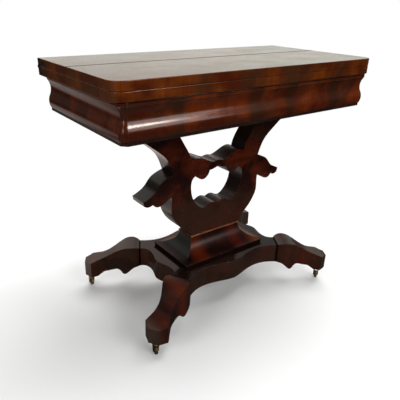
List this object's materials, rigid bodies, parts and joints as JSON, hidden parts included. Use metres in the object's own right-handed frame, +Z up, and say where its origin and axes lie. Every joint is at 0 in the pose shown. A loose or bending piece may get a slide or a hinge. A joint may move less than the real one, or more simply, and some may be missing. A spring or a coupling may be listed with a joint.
{
  "type": "card table",
  "caption": "Folding card table with a swivelling double top, ogee frieze, scroll-cut lyre pedestal, serpentine platform and scrolled legs on casters.",
  "frame": {"origin": "on the floor, under the middle of the closed top", "axes": "+X along the front towards the right end, +Y from front to back, +Z up"},
  "size_m": [0.852, 0.4518, 0.734],
  "materials": {
    "mahogany_top": "French-polished figured mahogany",
    "mahogany_frieze": "French-polished mahogany veneer",
    "mahogany_lyre": "French-polished mahogany veneer",
    "mahogany_base": "French-polished mahogany veneer",
    "ebonised": "dark polished strip",
    "secondary_wood": "planed pine and poplar",
    "brass": "aged polished brass",
    "steel": "dull steel"
  },
  "bodies": {
    "root": {"frame_rail_front": "secondary_wood", "frame_rail_back": "secondary_wood", "frame_rail_left": "secondary_wood", "frame_rail_right": "secondary_wood", "ogee_front": "mahogany_frieze", "ogee_left": "mahogany_frieze", "ogee_right": "mahogany_frieze", "ogee_corner_left": "mahogany_frieze", "ogee_corner_right": "mahogany_frieze", "frieze_strips": "ebonised", "corner_blocks": "secondary_wood", "pivot_rail": "secondary_wood", "well_board": "secondary_wood", "bearer_left": "secondary_wood", "bearer_right": "secondary_wood", "bearer_screws": "steel", "lyre": "mahogany_lyre", "plinth_bead": "mahogany_base", "plinth": "mahogany_base", "plinth_base": "ebonised", "plinth_screws": "steel", "platform": "mahogany_base", "leg_front_left": "mahogany_base", "leg_front_right": "mahogany_base", "leg_back_left": "mahogany_base", "leg_back_right": "mahogany_base", "leg_dowels": "secondary_wood", "caster_sockets": "brass", "caster_plate_screws": "brass"},
    "top_swivel": {"leaf_lower": "mahogany_top", "hinge_plate_lower_left": "brass", "hinge_plate_lower_right": "brass", "hinge_pins": "brass", "hinge_screws_lower": "brass", "pivot_stud": "steel", "pivot_plate_screws": "steel", "pivot_washer": "steel", "pivot_nut": "steel", "stop_peg": "secondary_wood"},
    "leaf_fold": {"leaf_upper": "mahogany_top", "hinge_plate_upper_left": "brass", "hinge_plate_upper_right": "brass", "hinge_screws_upper": "brass"},
    "caster_front_left": {"caster_fork_front_left": "brass", "caster_axle_front_left": "brass"},
    "wheel_front_left": {"caster_wheel_front_left": "brass"},
    "caster_front_right": {"caster_fork_front_right": "brass", "caster_axle_front_right": "brass"},
    "wheel_front_right": {"caster_wheel_front_right": "brass"},
    "caster_back_left": {"caster_fork_back_left": "brass", "caster_axle_back_left": "brass"},
    "wheel_back_left": {"caster_wheel_back_left": "brass"},
    "caster_back_right": {"caster_fork_back_right": "brass", "caster_axle_back_right": "brass"},
    "wheel_back_right": {"caster_wheel_back_right": "brass"}
  },
  "joints": [
    {"name": "top_turn", "type": "hinge", "parent": "root", "child": "top_swivel", "pos_m": [0.103, 0.103, 0.6907], "axis": [0, 0, 1], "range_deg": [0, 90]},
    {"name": "leaf_open", "type": "hinge", "parent": "top_swivel", "child": "leaf_fold", "pos_m": [0, 0.206, 0.7125], "axis": [-1, 0, 0], "range_deg": [0, 180]},
    {"name": "caster_turn_front_left", "type": "hinge", "parent": "root", "child": "caster_front_left", "pos_m": [-0.32881, -0.19835, 0.05], "axis": [0, 0, 1], "continuous": true},
    {"name": "wheel_roll_front_left", "type": "hinge", "parent": "caster_front_left", "child": "wheel_front_left", "pos_m": [-0.3266, -0.19066, 0.012], "axis": [-0.9613, 0.2756, 0], "continuous": true},
    {"name": "caster_turn_front_right", "type": "hinge", "parent": "root", "child": "caster_front_right", "pos_m": [0.32881, -0.19835, 0.05], "axis": [0, 0, 1], "continuous": true},
    {"name": "wheel_roll_front_right", "type": "hinge", "parent": "caster_front_right", "child": "wheel_front_right", "pos_m": [0.33475, -0.193, 0.012], "axis": [-0.6691, 0.7431, 0], "continuous": true},
    {"name": "caster_turn_back_left", "type": "hinge", "parent": "root", "child": "caster_back_left", "pos_m": [-0.32881, 0.19835, 0.05], "axis": [0, 0, 1], "continuous": true},
    {"name": "wheel_roll_back_left", "type": "hinge", "parent": "caster_back_left", "child": "wheel_back_left", "pos_m": [-0.32853, 0.20634, 0.012], "axis": [-0.9994, 0.0349, 0], "continuous": true},
    {"name": "caster_turn_back_right", "type": "hinge", "parent": "root", "child": "caster_back_right", "pos_m": [0.32881, 0.19835, 0.05], "axis": [0, 0, 1], "continuous": true},
    {"name": "wheel_roll_back_right", "type": "hinge", "parent": "caster_back_right", "child": "wheel_back_right", "pos_m": [0.33206, 0.20566, 0.012], "axis": [-0.9135, 0.4067, 0], "continuous": true}
  ]
}
